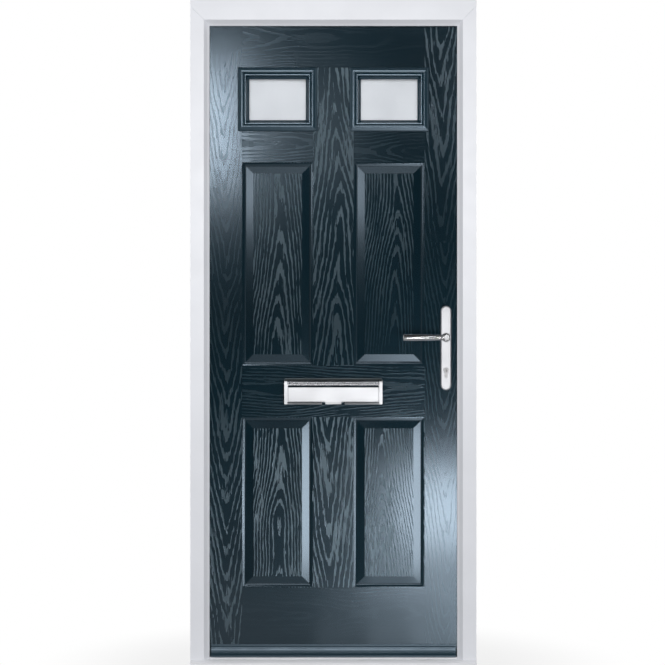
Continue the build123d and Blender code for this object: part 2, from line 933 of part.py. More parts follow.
with BuildPart() as glass_spacers:
    spacer_depth = inner_pane_y - outer_pane_y - pane_thickness
    with Locations(*[(x, leaf_mid_y, light_z) for x in (-light_x, light_x)]):
        Box(pane_width, spacer_depth, pane_height)
        Box(
            pane_width - 2 * spacer_width,
            spacer_depth,
            pane_height - 2 * spacer_width,
            mode=Mode.SUBTRACT,
        )
write_piece(glass_spacers, "glass_spacers")

# Weather bar: flat strip, rounded ridge and a hollow sweep out to the drip edge
with BuildPart() as weather_bar:
    strip_y = leaf_outer - bar_strip
    drip_y = leaf_outer - bar_projection
    strip_foot = (strip_y, bar_top - bar_strip_height)
    ridge_z = bar_top - bar_ridge_drop
    ridge = (strip_y - bar_ridge, ridge_z)
    swell = (strip_y - bar_swell[0], ridge_z + bar_swell[1])
    hollow = (strip_y - bar_hollow[0], ridge_z - bar_hollow[1])
    drip_top = bar_bottom + bar_edge
    with BuildSketch(Plane.YZ.offset(-bar_half_length)):
        with BuildLine():
            Polyline((leaf_outer, bar_bottom), (leaf_outer, bar_top), (strip_y, bar_top), strip_foot)
            ThreePointArc(strip_foot, swell, ridge)
            ThreePointArc(ridge, hollow, (drip_y, drip_top))
            Polyline(
                (drip_y, drip_top),
                (drip_y, bar_bottom),
                (drip_y + drip_step, bar_bottom),
                (drip_y + drip_step + drip_slope, bar_bottom + drip_depth),
                (drip_y + 2 * drip_step, bar_bottom + drip_depth),
                (drip_y + 2 * drip_step + drip_slope, bar_bottom),
                (leaf_outer, bar_bottom),
            )
        make_face()
    extrude(amount=2 * bar_half_length)
write_piece(weather_bar, "weather_bar")

# Letterplate: outer frame with hood, end caps and lower lip, sleeve, inner frame and the two flaps
plate_face = leaf_outer - plate_base
flap_back = plate_face - seal_gap
flap_front = flap_back - flap_thickness
flap_pivot_y = (flap_back + flap_front) / 2
flap_knuckle_radius = flap_thickness / 2
cap_x = (plate_width - end_cap_width) / 2
tab_room = tab_half_width + tab_notch
notch_x = tab_half_width + tab_notch / 2
lip_length = plate_width / 2 - end_cap_width - tab_room
lip_starts = (-tab_room - lip_length, tab_room)
with BuildPart() as letterplate_frame:
    with BuildSketch(front_plane(leaf_outer)):
        with Locations((0, plate_z)):
            RectangleRounded(plate_width, plate_height, plate_corner)
        with Locations((0, slot_z)):
            Rectangle(slot_width, slot_height, mode=Mode.SUBTRACT)
        with Locations((0, (shadow_gap_bottom + shadow_gap_top) / 2)):
            Rectangle(shadow_gap_width, shadow_gap_top - shadow_gap_bottom, mode=Mode.SUBTRACT)
        with Locations(*[(x, plate_bottom + lip_height / 2) for x in (-notch_x, notch_x)]):
            Rectangle(tab_notch, lip_height, mode=Mode.SUBTRACT)
    extrude(amount=plate_base)
    with BuildSketch(Plane.YZ.offset(-plate_width / 2 + hood_crown)):
        hood_front = plate_face - hood_projection
        bead_front = hood_front - hood_bead_swell
        bead_joint = hood_bottom + hood_bead
        bead_top = bead_joint + hood_bead
        crown = (plate_face - hood_crown, plate_top)
        hollow = (plate_face - hood_hollow[0], plate_top - hood_hollow[1])
        with BuildLine():
            Polyline((plate_face, hood_bottom), (plate_face, plate_top), crown)
            ThreePointArc(crown, hollow, (hood_front, bead_top))
            for bottom, top in ((bead_joint, bead_top), (hood_bottom, bead_joint)):
                ThreePointArc((hood_front, top), (bead_front, (bottom + top) / 2), (hood_front, bottom))
            Line((hood_front, hood_bottom), (plate_face, hood_bottom))
        make_face()
    extrude(amount=plate_width - 2 * hood_crown)
    with BuildSketch(front_plane(plate_face)):
        with Locations(*[(x, (plate_bottom + end_cap_top) / 2) for x in (-cap_x, cap_x)]):
            RectangleRounded(end_cap_width, end_cap_top - plate_bottom, end_cap_round)
    extrude(amount=end_cap_height - plate_base)
    for start_x in lip_starts:
        with BuildSketch(Plane.YZ.offset(start_x)):
            with BuildLine():
                Polyline(
                    (plate_face, plate_bottom),
                    (plate_face, plate_bottom + lip_height),
                    (plate_face - lip_reach, plate_bottom + lip_edge),
                    (plate_face - lip_reach, plate_bottom),
                    close=True,
                )
            make_face()
        extrude(amount=lip_length)
    with Locations(Location((0, flap_pivot_y, flap_pivot_z), (0, 90, 0))):
        Cylinder(flap_pin_radius + running_gap, flap_width + 2 * flap_pin_length, mode=Mode.SUBTRACT)
    with BuildSketch(front_plane(leaf_outer)):
        with Locations(*letter_bolts):
            Circle(bolt_radius + pilot_gap)
    extrude(amount=plate_base - bolt_cover, mode=Mode.SUBTRACT)
write_piece(letterplate_frame, "letterplate_frame")


def letter_flap(width):
    # Flap hanging from two stub pins, its top edge rounded about them
    with BuildPart() as flap:
        with BuildSketch(front_plane(flap_back)):
            with Locations((0, (flap_bottom + flap_pivot_z) / 2)):
                Rectangle(width, flap_pivot_z - flap_bottom)
        extrude(amount=flap_thickness)
        front_edges = flap.faces().sort_by(Axis.Y)[0].edges()
        fillet(front_edges.sort_by(Axis.Z)[:-1], radius=flap_edge)
        with Locations(Location((0, flap_pivot_y, flap_pivot_z), (0, 90, 0))):
            Cylinder(flap_knuckle_radius, width)
            Cylinder(flap_pin_radius, width + 2 * flap_pin_length - 2 * pin_end_gap)
    return flap.part


with BuildPart() as outer_flap:
    add(letter_flap(flap_width))
    with BuildSketch(front_plane(flap_back)):
        with Locations((0, flap_bottom + (tab_lap - tab_drop) / 2)):
            RectangleRounded(2 * tab_half_width, tab_drop + tab_lap, tab_corner)
    extrude(amount=flap_thickness + tab_rise)
write_piece(outer_flap, "outer_flap")

with BuildPart() as letterplate_sleeve:
    with BuildSketch(front_plane(leaf_inner)):
        with Locations((0, slot_z)):
            Rectangle(slot_width, slot_height)
            Rectangle(slot_width - 2 * sleeve_wall, slot_height - 2 * sleeve_wall, mode=Mode.SUBTRACT)
    extrude(amount=leaf_inner - leaf_outer)
write_piece(letterplate_sleeve, "letterplate_sleeve")

inner_plate_face = leaf_inner + plate_base
with BuildPart() as letterplate_inner_frame:
    with BuildSketch(front_plane(inner_plate_face)):
        with Locations((0, plate_z)):
            RectangleRounded(plate_width, plate_height, plate_corner)
        with Locations((0, slot_z)):
            Rectangle(slot_width, slot_height, mode=Mode.SUBTRACT)
        with Locations(*letter_bolts):
            Circle(bolt_radius + pilot_gap, mode=Mode.SUBTRACT)
    extrude(amount=plate_base)
    lug_x = (inner_flap_width + flap_pin_length) / 2 + slide_gap
    with BuildSketch(front_plane(inner_plate_face + flap_thickness + lug_spare)):
        with Locations((-lug_x, flap_pivot_z), (lug_x, flap_pivot_z)):
            RectangleRounded(flap_pin_length, lug_height, lug_corner)
    extrude(amount=flap_thickness + lug_spare)
    inner_pivot_y = 2 * leaf_mid_y - flap_pivot_y
    with Locations(Location((0, inner_pivot_y, flap_pivot_z), (0, 90, 0))):
        Cylinder(flap_pin_radius + running_gap, inner_flap_width + 2 * flap_pin_length, mode=Mode.SUBTRACT)
write_piece(letterplate_inner_frame, "letterplate_inner_frame")

with BuildPart() as inner_flap:
    add(mirrored(letter_flap(inner_flap_width)))
write_piece(inner_flap, "inner_flap")


def through_bolts(centres, tip_y, seat_y):
    # Bolts driven from the inside, their pan heads on the inner plate
    with BuildPart() as bolts:
        with BuildSketch(front_plane(seat_y)):
            with Locations(*centres):
                Circle(bolt_radius)
        extrude(amount=seat_y - tip_y)
        with BuildSketch(front_plane(seat_y + bolt_head_height)):
            with Locations(*centres):
                Circle(bolt_head_radius)
        extrude(amount=bolt_head_height)
    return bolts.part


with BuildPart() as letterplate_bolts:
    add(through_bolts(letter_bolts, plate_face + bolt_cover, inner_plate_face))
write_piece(letterplate_bolts, "letterplate_bolts")


# Handles: backplates, levers with half of the spindle each, and the bolts through both plates
backplate_face = leaf_outer - backplate_thickness
backplate_height = backplate_top - backplate_bottom
backplate_z = (backplate_top + backplate_bottom) / 2


def backplate():
    with BuildPart() as plate:
        with BuildSketch(front_plane(leaf_outer)):
            with Locations((spindle_x, backplate_z)):
                SlotOverall(backplate_height, backplate_width, rotation=90)
        extrude(amount=backplate_thickness)
        fillet(plate.faces().sort_by(Axis.Y)[0].edges(), radius=backplate_round)
        with BuildSketch(front_plane(leaf_outer)):
            with Locations((spindle_x, spindle_z)):
                Circle(spindle_bore)
            add(cylinder_outline(slide_gap))
        extrude(amount=backplate_thickness, mode=Mode.SUBTRACT)
    return plate.part


def lever():
    # Round collar and boss, a grip lofted through oval sections, and the square spindle behind
    collar_back = backplate_face - slide_gap
    grip_y = backplate_face - lever_stand_off
    spindle_end = leaf_mid_y - spindle_gap
    with BuildPart() as handle:
        with BuildSketch(front_plane(collar_back)):
            with Locations((spindle_x, spindle_z)):
                Circle(collar_radius)
        extrude(amount=collar_height)
        fillet(handle.faces().sort_by(Axis.Y)[0].edges(), radius=collar_round)
        with BuildSketch(front_plane(collar_back)):
            with Locations((spindle_x, spindle_z)):
                Circle(boss_radius)
        extrude(amount=collar_back - grip_y + boss_lead)
        fillet(handle.faces().sort_by(Axis.Y)[0].edges(), radius=boss_round)
        for reach, height, thickness in grip_sections:
            with BuildSketch(Plane.YZ.offset(spindle_x - reach)):
                with Locations((grip_y, spindle_z)):
                    Ellipse(thickness / 2, height / 2)
        loft()
        fillet(handle.faces().sort_by(Axis.X)[0].edges(), radius=grip_end_round)
        with BuildSketch(front_plane(spindle_end)):
            with Locations((spindle_x, spindle_z)):
                Rectangle(spindle_size, spindle_size)
        extrude(amount=spindle_end - collar_back)
    return handle.part


with BuildPart() as outer_backplate:
    add(backplate())
    with BuildSketch(front_plane(leaf_outer)):
        with Locations(*handle_bolts_xz):
            Circle(bolt_radius + pilot_gap)
    extrude(amount=backplate_thickness / 2, mode=Mode.SUBTRACT)
write_piece(outer_backplate, "outer_backplate")

with BuildPart() as inner_backplate:
    add(mirrored(backplate()))
    with BuildSketch(front_plane(leaf_inner + backplate_thickness)):
        with Locations(*handle_bolts_xz):
            Circle(bolt_radius + pilot_gap)
    extrude(amount=backplate_thickness, mode=Mode.SUBTRACT)
write_piece(inner_backplate, "inner_backplate")

with BuildPart() as outer_lever:
    add(lever())
write_piece(outer_lever, "outer_lever")

with BuildPart() as inner_lever:
    add(mirrored(lever()))
write_piece(inner_lever, "inner_lever")

with BuildPart() as handle_bolts:
    bolt_tip = leaf_outer - backplate_thickness / 2
    add(through_bolts(handle_bolts_xz, bolt_tip, leaf_inner + backplate_thickness))
write_piece(handle_bolts, "handle_bolts")

# Key cylinder: profiled body with a gap for the cam, and the plug that carries it
cylinder_outer = backplate_face - cylinder_projection
cylinder_inner = 2 * leaf_mid_y - cylinder_outer
cylinder_length = cylinder_inner - cylinder_outer
cylinder_axis = Location((spindle_x, lock_y, cylinder_z), (90, 0, 0))
with BuildPart() as cylinder_body:
    with BuildSketch(front_plane(cylinder_inner)):
        add(cylinder_outline(0))
        with Locations((spindle_x, cylinder_z)):
            Circle(plug_radius + running_gap, mode=Mode.SUBTRACT)
    extrude(amount=cylinder_length)
    with Locations(cylinder_axis):
        Cylinder(cam_radius + cam_gap, cam_width + 2 * slide_gap, mode=Mode.SUBTRACT)
write_piece(cylinder_body, "cylinder_body")

with BuildPart() as cylinder_plug:
    with Locations(cylinder_axis):
        Cylinder(plug_radius, cylinder_length)
    chamfer(cylinder_plug.edges(), length=plug_edge)
    with BuildSketch(front_plane(lock_y + cam_width / 2)):
        with Locations((spindle_x, cylinder_z)):
            Circle(barrel_radius)
        with Locations((spindle_x, cylinder_z - cam_radius / 2)):
            SlotOverall(cam_radius, cam_nose, rotation=90)
    extrude(amount=cam_width)
    for face_y, inward in ((cylinder_outer, -1), (cylinder_inner, 1)):
        with BuildSketch(front_plane(face_y)):
            with Locations((spindle_x, cylinder_z - keyway_drop)):
                Rectangle(keyway_width, keyway_height)
        extrude(amount=inward * keyway_depth, mode=Mode.SUBTRACT)
write_piece(cylinder_plug, "cylinder_plug")

# Multipoint lock: long faceplate, gearbox case, and a case with a swinging hook near each end
with BuildPart() as lock_faceplate:
    with BuildSketch(Plane.YZ.offset(faceplate_x)):
        with Locations((lock_y, (faceplate_bottom + faceplate_top) / 2)):
            Rectangle(groove_width, faceplate_top - faceplate_bottom)
        with Locations((lock_y, latch_z)):
            Rectangle(latch_width + 2 * slide_gap, latch_height + 2 * slide_gap, mode=Mode.SUBTRACT)
        with Locations((lock_y, deadbolt_z)):
            Rectangle(deadbolt_width + 2 * slide_gap, deadbolt_height + 2 * slide_gap, mode=Mode.SUBTRACT)
        for z in hook_heights.values():
            slot_bottom = z - hook_arm - hook_room
            slot_top = z + hook_boss_radius
            with Locations((lock_y, (slot_bottom + slot_top) / 2)):
                Rectangle(hook_thickness + 2 * slide_gap, slot_top - slot_bottom, mode=Mode.SUBTRACT)
    extrude(amount=faceplate_thickness)
    add(door_seats, mode=Mode.SUBTRACT)
write_piece(lock_faceplate, "lock_faceplate")

case_x = faceplate_x - case_depth / 2
with BuildPart() as lock_case:
    with Locations((case_x, lock_y, (case_bottom + case_top) / 2)):
        Box(case_depth, case_thickness, case_top - case_bottom)
    with BuildSketch(Plane.YZ.offset(faceplate_x)):
        with Locations((lock_y, latch_z)):
            Rectangle(latch_width + 2 * slide_gap, latch_height + 2 * slide_gap)
    extrude(amount=-latch_length, mode=Mode.SUBTRACT)
    with BuildSketch(Plane.YZ.offset(faceplate_x)):
        with Locations((lock_y, deadbolt_z)):
            Rectangle(deadbolt_width + 2 * slide_gap, deadbolt_height + 2 * slide_gap)
    extrude(amount=-deadbolt_length, mode=Mode.SUBTRACT)
    with BuildSketch(front_plane(lock_y + case_thickness / 2)):
        with Locations((spindle_x, spindle_z)):
            Circle(spindle_bore)
        add(cylinder_outline(slide_gap))
    extrude(amount=case_thickness, mode=Mode.SUBTRACT)
    with Locations(cylinder_axis):
        Cylinder(cam_radius + 2 * slide_gap, cam_width + 2 * slide_gap, mode=Mode.SUBTRACT)
write_piece(lock_case, "lock_case")

with BuildPart() as latch_bolt:
    latch_back = leaf_half_width - latch_length
    with BuildSketch(Plane.XY.offset(latch_z - latch_height / 2)):
        with BuildLine():
            Polyline(
                (latch_back, lock_y - latch_width / 2),
                (leaf_half_width - latch_width + latch_flat, lock_y - latch_width / 2),
                (leaf_half_width, lock_y + latch_width / 2 - latch_flat),
                (leaf_half_width, lock_y + latch_width / 2),
                (latch_back, lock_y + latch_width / 2),
                close=True,
            )
        make_face()
    extrude(amount=latch_height)
write_piece(latch_bolt, "latch_bolt")

with BuildPart() as deadbolt:
    with Locations((leaf_half_width - deadbolt_length / 2, lock_y, deadbolt_z)):
        Box(deadbolt_length, deadbolt_width, deadbolt_height)
    chamfer(deadbolt.faces().sort_by(Axis.X)[-1].edges(), length=bolt_edge)
write_piece(deadbolt, "deadbolt")

with BuildPart() as hook_cases:
    cavity_left = hook_pivot_x - hook_boss_radius - hook_room
    for z, (bottom, top) in zip(hook_heights.values(), hook_case_spans):
        with Locations(((hook_case_left + faceplate_x) / 2, lock_y, (bottom + top) / 2)):
            Box(faceplate_x - hook_case_left, case_thickness, top - bottom)
        cavity_bottom = z - hook_arm - hook_room
        cavity_top = z + hook_boss_radius + hook_room
        with Locations(((cavity_left + faceplate_x) / 2, lock_y, (cavity_bottom + cavity_top) / 2)):
            Box(
                faceplate_x - cavity_left,
                hook_thickness + 2 * slide_gap,
                cavity_top - cavity_bottom,
                mode=Mode.SUBTRACT,
            )
        with Locations(Location((hook_pivot_x, lock_y, z), (90, 0, 0))):
            Cylinder(hook_pin_radius, case_thickness)
write_piece(hook_cases, "hook_cases")

for name, z in hook_heights.items():
    with BuildPart() as hook:
        with BuildSketch(front_plane(lock_y + hook_thickness / 2)):
            with Locations((hook_pivot_x, z)):
                Circle(hook_boss_radius)
            with Locations((hook_pivot_x, z - hook_arm / 2)):
                Rectangle(hook_arm_width, hook_arm)
            nose_left = hook_pivot_x - hook_arm_width / 2
            nose_right = hook_pivot_x + hook_nose_reach
            with Locations(((nose_left + nose_right) / 2, z - hook_arm + hook_nose / 2)):
                Rectangle(nose_right - nose_left, hook_nose)
            with Locations((hook_pivot_x, z)):
                Circle(hook_pin_radius + running_gap, mode=Mode.SUBTRACT)
        extrude(amount=hook_thickness)
    write_piece(hook, f"{name}_hook")


# Hinges: two knuckles on the frame half, one between them on the door half
def hinge_half(side, middle, spans):
    # Plate on the inside face, rolled into knuckles over the given spans of height
    plate_x = hinge_axis_x + side * hinge_plate_x
    web_x = hinge_axis_x + side * hinge_plate_gap / 2
    with BuildPart() as half:
        with BuildSketch(front_plane(hinge_face)):
            with Locations((plate_x, middle)):
                RectangleRounded(hinge_plate_width, hinge_height, hinge_plate_corner)
        extrude(amount=hinge_plate)
        for bottom, top in spans:
            with BuildSketch(Plane.XY.offset(bottom)):
                with Locations((hinge_axis_x, hinge_axis_y)):
                    Circle(knuckle_radius)
                with Locations((web_x + side * web_lap, hinge_face - hinge_plate / 2)):
                    Rectangle(hinge_plate_gap + 2 * web_lap, hinge_plate)
                with Locations((hinge_axis_x, hinge_axis_y)):
                    Circle(hinge_pin_radius + running_gap, mode=Mode.SUBTRACT)
            extrude(amount=top - bottom)
        add(frame_seats if side < 0 else door_seats, mode=Mode.SUBTRACT)
    return half.part


for name, z in hinge_heights.items():
    knuckle_top = z + knuckle_length / 2
    knuckle_bottom = z - knuckle_length / 2
    hinge_top = z + hinge_height / 2
    hinge_bottom = z - hinge_height / 2
    lower_knuckle = (hinge_bottom, knuckle_bottom - knuckle_gap)
    upper_knuckle = (knuckle_top + knuckle_gap, hinge_top)
    with BuildPart() as frame_leaf:
        add(hinge_half(-1, z, [lower_knuckle, upper_knuckle]))
    write_piece(frame_leaf, f"hinge_frame_leaf_{name}")
    with BuildPart() as door_leaf:
        add(hinge_half(1, z, [(knuckle_bottom, knuckle_top)]))
    write_piece(door_leaf, f"hinge_door_leaf_{name}")

with BuildPart() as hinge_pins:
    for z in hinge_heights.values():
        with Locations((hinge_axis_x, hinge_axis_y, z)):
            Cylinder(hinge_pin_radius, hinge_height)
        with Locations((hinge_axis_x, hinge_axis_y, z + hinge_height / 2)):
            Cylinder(hinge_cap_radius, hinge_cap_height, align=above_origin)
        with Locations((hinge_axis_x, hinge_axis_y, z - hinge_height / 2)):
            Cylinder(hinge_cap_radius, hinge_cap_height, align=below_origin)
write_piece(hinge_pins, "hinge_pins")

with BuildPart() as door_screws:
    with Locations(*door_screw_places):
        add(screw.part)
write_piece(door_screws, "door_screws")
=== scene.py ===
import json
from math import radians
from typing import NamedTuple

import bpy
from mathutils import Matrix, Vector

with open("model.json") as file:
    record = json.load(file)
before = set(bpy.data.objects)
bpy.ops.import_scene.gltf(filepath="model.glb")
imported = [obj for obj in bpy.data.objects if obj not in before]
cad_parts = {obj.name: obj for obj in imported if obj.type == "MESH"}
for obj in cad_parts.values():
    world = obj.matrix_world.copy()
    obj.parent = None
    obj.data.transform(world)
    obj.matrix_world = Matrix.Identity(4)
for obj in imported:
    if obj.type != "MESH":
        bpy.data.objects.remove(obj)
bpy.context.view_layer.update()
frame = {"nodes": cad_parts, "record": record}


def span(node, axis):
    """The two ends of one of the frame's nodes along an axis."""
    places = [corner["xyz".index(axis)] for corner in frame["nodes"][node].bound_box]
    return min(places), max(places)


# Camera, seen straight on from outside
frame_face = span("hinge_jamb", "y")[0]
view_width = 2.115
view_centre = (-0.0027, 1.062)
camera_distance = 6.0
sensor_width = 36.0

# Boards that the skins are pressed to look like: what each kind spans in x
panel_x = 0.178
panel_width = 0.227
stile_line = panel_x + panel_width / 2
muntin_line = panel_x - panel_width / 2
leaf_edge = span("outer_skin", "x")[1]
left_stile = (-leaf_edge, -stile_line)
right_stile = (stile_line, leaf_edge)
left_panel = (-stile_line, -muntin_line)
right_panel = (muntin_line, stile_line)
muntin = (-muntin_line, muntin_line)
between_stiles = (-stile_line, stile_line)

# The same boards: what each spans in z, and the heights at which the figure of the stiles changes
leaf_foot, leaf_head = span("outer_skin", "z")
light_foot, light_head = span("left_cassette_outer", "z")
lower_panels = (0.2475, 0.7915)
upper_panels = (0.9565, 1.6055)
upper_muntin = (upper_panels[0], light_head)
bottom_rail = (leaf_foot, lower_panels[0])
middle_rail = (lower_panels[1], upper_panels[0])
light_rail = (upper_panels[1], light_foot)
top_rail = (light_head, leaf_head)
left_change = 1.25
right_change = 1.35

# Lines between the letterplate's hood, rim, end caps, lower lip and the flap's tab
hood_height = 0.021
rim_height = 0.008
lip_height = 0.0075
cap_width = 0.010
plate_margin = 0.0135
plate_edge = span("letterplate_frame", "x")[1]
plate_foot, plate_head = span("letterplate_frame", "z")
hood_foot = plate_head - hood_height
rim_foot = plate_head - rim_height
lip_head = plate_foot + lip_height
cap_line = plate_edge - cap_width
tab_line = 0.031
clear_of_plate = plate_edge + plate_margin

# Colours, as linear light
neutral = (1.0, 1.0, 1.0)
dark_ground = (0.0015, 0.0105, 0.0165)
dark_stroke = (0.054, 0.081, 0.096)
dark_gleam = (0.68, 0.84, 1.0)
# Painted shade: the dark reflection colour given to the glazing cassettes' hollows
hollow_painted_shade = (0.02, 0.03, 0.04)
white_ground = (0.80, 0.80, 0.80)
white_stroke = (0.66, 0.66, 0.65)
frame_white = (0.765, 0.780, 0.825)
# Painted shade for the letterplate's lower lip and the flap's tab, and a painted dark reflection for its hood
# rim
lip_painted_shade = (0.44, 0.45, 0.47)
tab_painted_shade = (0.62, 0.63, 0.65)
rim_painted_reflection = (0.12, 0.145, 0.155)
floor_grey = (0.86, 0.86, 0.87)

# Fineness of the patterns in the finishes, in cycles a metre
skin_cloud_fineness = 2.4
paint_cloud_fineness = 7.0
haze_fineness = 9.0
smear_fineness = 11.0
gloss_fineness = 23.0
speckle_fineness = 60.0
spangle_fineness = 160.0
stipple_fineness = 260.0
cassette_fineness = 500.0
foam_fineness = 900.0

# Finishes: the part of the noise that is used, and how far it shifts a colour or a gloss
noise_middle = 0.5
noise_span = (0.3, 0.7)
mark_span = (0.25, 0.75)
mark_shade = 0.94
paint_shade = 0.96
paint_swing = 0.06
smear_swing = 0.25
plate_swing = 0.1
haze_swing = 0.2
satin_metal = 0.4
glass_ior = 1.45

# Hollows of the glazing cassettes: their width, and how open a point is where the painted shade in their
# reflection colour and their gloss change
hollow_width = 0.007
hollow_samples = 8
painted_shade_opening = (0.55, 0.9)
gloss_opening = (0.45, 0.85)

# Oak figure: rings that sway and drift along a board, waver, tremble, and break up in pores and patches
seed_step = 1.7
sway_fineness = 1.6
sway_width = 0.040
drift_fineness = 3.1
drift_height = 0.025
waver_fineness = (26, 1, 5)
waver_turn = 1.3
tremble_fineness = (150, 1, 28)
tremble_turn = 0.6
pore_fineness = (300, 1, 30)
pore_detail = 1.5
pore_tilt = 0.5
patch_fineness = (24, 1, 6)
patch_detail = 1.0
early_rise = (0.0, 0.10)
early_fall = (0.22, 0.52)
early_share = 0.5
pore_share = 0.9
patch_share = 1.2
stroke_span = (0.20, 0.36)
stroke_depth = 0.0003
flat_slope = (0.04, 0.12)

# Timber: its rings a metre through the leaf and across it, and how they wander
timber_fineness = (30, 30, 1.6)
timber_wander = 2.6
rings_through = 240.0
rings_across = 90.0
late_wood = (0.3, 0.95)

# Floor and room: how far the door's shadow shows, and how bright each is to the eye and in a polished face
floor_radius = 6.0
floor_sides = 96
shadow_reach = (0.45, 1.0)
shadow_glow = 0.84
floor_shade = 0.97
mirrored_floor = 0.2
ceiling_rise = (0.25, 0.75)
ceiling_glow = 0.1
backdrop_rise = (-0.75, 0.0)
room_glow = 0.05
fill_strength = 0.20


class Graph:
    """The nodes of a material or a world, made by calls that give back sockets."""

    def __init__(self, owner):
        owner.use_nodes = True
        self.tree = owner.node_tree

    def add(self, kind, inputs=None, **settings):
        made = self.tree.nodes.new("ShaderNode" + kind)
        for key, value in settings.items():
            setattr(made, key, value)
        for key, value in (inputs or {}).items():
            self.feed(made.inputs[key], value)
        return made

    def feed(self, socket, value):
        if isinstance(value, bpy.types.NodeSocket):
            self.tree.links.new(value, socket)
        elif socket.type == "RGBA":
            socket.default_value = (*value, 1.0)
        else:
            socket.default_value = value

    def math(self, operation, *values):
        return self.add("Math", dict(enumerate(values)), operation=operation).outputs[0]

    def product(self, first, *others):
        for other in others:
            first = self.math("MULTIPLY", first, other)
        return first

    def centred(self, noise):
        return self.math("SUBTRACT", noise, noise_middle)

    def stretch(self, value, low, high, to_low=0.0, to_high=1.0):
        """A smooth step from one value to another, as the given value goes from low to high."""
        ends = {0: value, 1: low, 2: high, 3: to_low, 4: to_high}
        return self.add("MapRange", ends, interpolation_type="SMOOTHSTEP").outputs[0]

    def choose(self, factor, first, second):
        """The first number where the factor is 0, and the second where it is 1."""
        return self.add("Mix", {0: factor, 2: first, 3: second}).outputs[0]

    def blend(self, factor, first, second):
        """The same for two colours."""
        return self.add("Mix", {0: factor, 6: first, 7: second}, data_type="RGBA").outputs[2]

    def split(self, vector):
        return self.add("SeparateXYZ", {0: vector}).outputs[:3]

    def point(self, *values):
        return self.add("CombineXYZ", dict(enumerate(values))).outputs[0]

    def scaled(self, vector, factor):
        return self.add("VectorMath", {0: vector, "Scale": factor}, operation="SCALE").outputs[0]

    def noise(self, vector, fineness, detail=2.0):
        return self.add("TexNoise", {"Vector": vector, "Scale": fineness, "Detail": detail}).outputs[0]

    def streaks(self, vector, fineness, detail=2.0):
        """Noise with a fineness of its own along each axis."""
        drawn = self.add("VectorMath", {0: vector, 1: fineness}, operation="MULTIPLY").outputs[0]
        return self.noise(drawn, 1.0, detail)

    def wander(self, position, fineness):
        """A slow change along one line, from -0.5 to 0.5."""
        inputs = {"W": position, "Scale": fineness, "Detail": 1.0}
        return self.centred(self.add("TexNoise", inputs, noise_dimensions="1D").outputs[0])


class Finish(Graph):
    """A material, with its patterns laid out in the shared frame."""

    def __init__(self, name="finish"):
        self.material = bpy.data.materials.new(name)
        super().__init__(self.material)
        self.shader = self.tree.nodes["Principled BSDF"]
        self.place = self.add("TexCoord").outputs["Object"]

    def surface(self, **values):
        for key, value in values.items():
            self.feed(self.shader.inputs[key.replace("_", " ")], value)

    def cloud(self, fineness, low, high, detail=3.0):
        """A slow change over the surface between two values."""
        return self.stretch(self.noise(self.place, fineness, detail), *noise_span, low, high)

    def relief(self, height, depth, strength, normal=None):
        bump = self.add("Bump", {"Height": height, "Distance": depth, "Strength": strength})
        if normal:
            self.feed(bump.inputs["Normal"], normal)
        self.surface(Normal=bump.outputs[0])


class Board(NamedTuple):
    """A board of the figured skin, and the growth rings under it."""

    sides: tuple  # what it spans in x
    ends: tuple  # what it spans in z
    upright: int  # 1 where its grain runs up, 0 where it lies
    pith: float  # how far the middle of its rings is off its own middle
    tip: float  # how blunt the arches of its rings are
    lean: float  # how fast they climb along the grain
    pitch: float  # how wide a ring is
    start: float  # how strongly they show at its foot or left end
    end: float  # and at its head or right end


upright, lying = 1, 0
boards = [
    Board(left_stile, (leaf_foot, left_change), upright, 0.008, 0.010, -0.190, 0.0150, 0.85, 0.10),
    Board(left_stile, (left_change, leaf_head), upright, 0.004, 0.010, -0.160, 0.0130, 0.12, 0.07),
    Board(right_stile, (leaf_foot, right_change), upright, 0.010, 0.012, -0.150, 0.0120, 0.10, 0.10),
    Board(right_stile, (right_change, leaf_head), upright, 0.0, 0.010, -0.150, 0.0160, 0.10, 0.70),
    Board(muntin, upper_muntin, upright, 0.010, 0.008, 0.150, 0.0160, 0.30, 1.0),
    Board(muntin, lower_panels, upright, -0.010, 0.008, -0.130, 0.0150, 1.0, 0.9),
    Board(left_panel, lower_panels, upright, 0.006, 0.022, 0.075, 0.0088, 1.0, 1.0),
    Board(right_panel, lower_panels, upright, -0.023, 0.012, 0.115, 0.0088, 0.8, 0.8),
    Board(left_panel, upper_panels, upright, 0.0, 0.028, 0.085, 0.0090, 0.45, 0.8),
    Board(right_panel, upper_panels, upright, 0.018, 0.018, 0.090, 0.0090, 0.08, 0.45),
    Board(between_stiles, top_rail, lying, 0.02, 0.05, 0.040, 0.0080, 0.09, 0.04),
    Board(left_panel, light_rail, lying, 0.01, 0.03, 0.060, 0.0080, 0.4, 0.1),
    Board(right_panel, light_rail, lying, -0.01, 0.03, -0.060, 0.0080, 0.12, 0.1),
    Board(between_stiles, middle_rail, lying, 0.01, 0.03, 0.060, 0.0085, 0.15, 0.15),
    Board(between_stiles, bottom_rail, lying, 0.03, 0.05, 0.040, 0.0080, 0.08, 0.08),
]


def middle_and_half(ends):
    """The middle of a span and half its length."""
    return (ends[0] + ends[1]) / 2, (ends[1] - ends[0]) / 2


